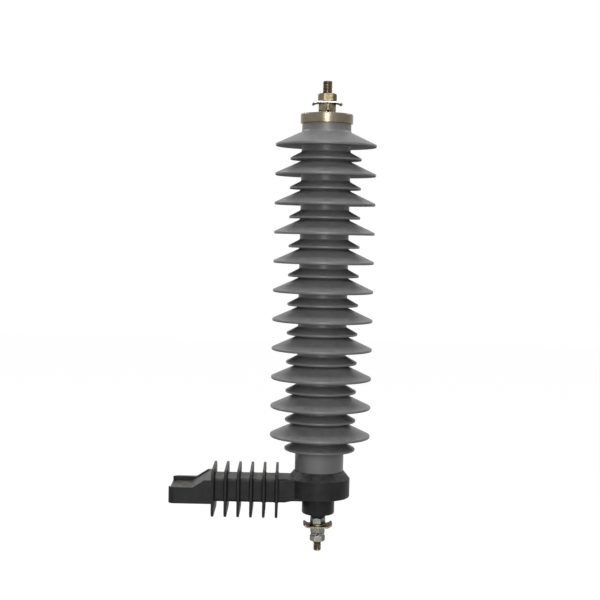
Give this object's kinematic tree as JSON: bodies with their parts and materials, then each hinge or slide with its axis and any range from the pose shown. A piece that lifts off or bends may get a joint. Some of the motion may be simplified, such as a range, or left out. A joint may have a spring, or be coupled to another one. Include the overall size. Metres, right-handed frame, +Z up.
{
  "type": "distribution surge arrester",
  "caption": "Upright polymer-housed surge arrester with alternating sheds, a finned insulating mounting arm, a stud terminal on top and a ground-lead disconnector below.",
  "frame": {"origin": "centre of the bracket's mounting bolt hole, on the underside of the bracket", "axes": "+Z up along the arrester, +X from the mounting bolt towards the arrester"},
  "size_m": [0.206, 0.104, 0.4869],
  "materials": {
    "silicone_rubber": "satin",
    "black_moulding": "satin",
    "disconnector_moulding": "satin",
    "nickel_plate": "satin",
    "yellow_passivated_zinc": "satin",
    "zinc_plate": "satin",
    "steel": "satin",
    "aluminium": "satin",
    "metal_oxide": "matte",
    "glass_fibre": "gloss",
    "seal_rubber": "matte",
    "resistor_compound": "matte"
  },
  "bodies": {
    "root": {"bracket": "black_moulding", "housing": "silicone_rubber", "glass_fibre_winding": "glass_fibre", "bottom_electrode": "aluminium", "top_electrode": "aluminium", "pressure_plate": "aluminium", "disc_springs": "steel", "cap_seal": "seal_rubber", "top_cap": "nickel_plate", "line_stud": "yellow_passivated_zinc", "line_lock_washer": "zinc_plate", "line_seat_nut": "yellow_passivated_zinc", "line_saddle_washer": "zinc_plate", "line_clamp_nut": "yellow_passivated_zinc", "base_stud": "steel", "disconnector_body": "disconnector_moulding", "disconnector_insert": "steel", "grading_resistor": "resistor_compound", "cartridge": "steel", "contact_spring": "steel", "earth_stud": "yellow_passivated_zinc", "earth_lock_nut": "zinc_plate", "earth_washer": "zinc_plate", "earth_saddle_washer": "yellow_passivated_zinc", "earth_clamp_nut": "zinc_plate", "earth_lock_washer": "zinc_plate", "earth_end_nut": "zinc_plate", "varistor_block_1": "metal_oxide", "varistor_block_2": "metal_oxide", "varistor_block_3": "metal_oxide", "varistor_block_4": "metal_oxide", "varistor_block_5": "metal_oxide", "varistor_block_6": "metal_oxide", "varistor_block_7": "metal_oxide", "varistor_block_8": "metal_oxide", "varistor_block_9": "metal_oxide"}
  },
  "joints": []
}
